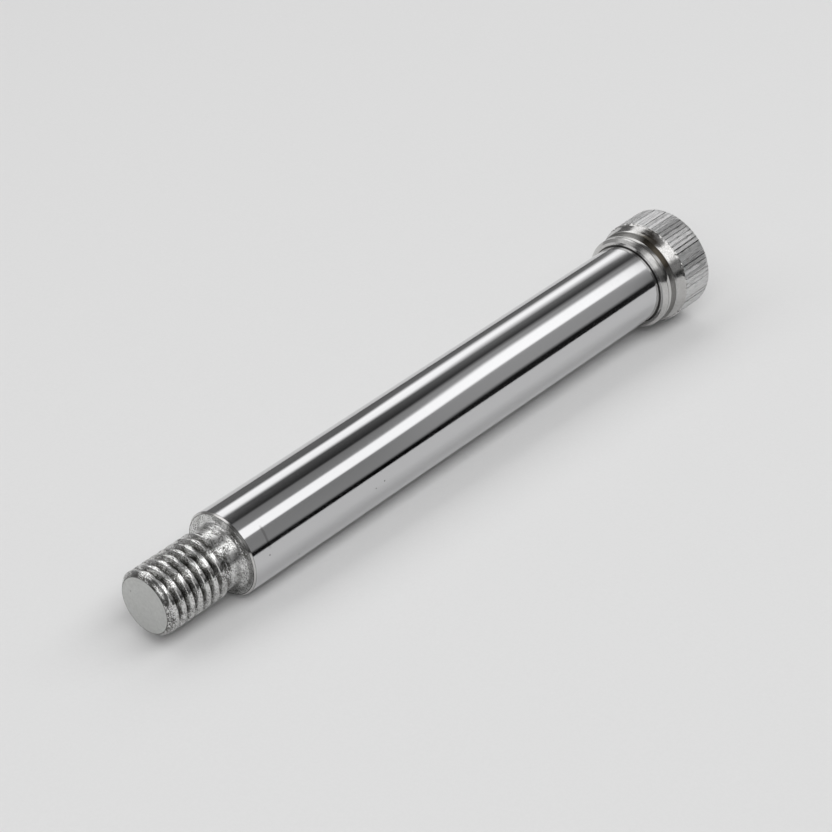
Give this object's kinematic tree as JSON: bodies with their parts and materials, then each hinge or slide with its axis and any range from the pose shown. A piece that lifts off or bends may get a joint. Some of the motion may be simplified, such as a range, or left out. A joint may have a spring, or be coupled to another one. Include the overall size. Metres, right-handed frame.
{
  "type": "shoulder bolt",
  "caption": "Long ground-shoulder bolt with a knurled socket head, a collar under the head and a shorter, thinner coarse thread.",
  "frame": {"origin": "centre of the head's end face, on the bolt's axis", "axes": "+Z along the bolt's axis, from the head's end face towards the threaded end; +X square to one pair of the socket's flats"},
  "size_m": [0.0168, 0.0168, 0.1151],
  "materials": {
    "bolt_steel": "bare bright steel: shoulder ground and polished, thread and neck satin and lightly speckled, head straight-knurled"
  },
  "bodies": {
    "root": {"shoulder_bolt": "bolt_steel"}
  },
  "joints": []
}
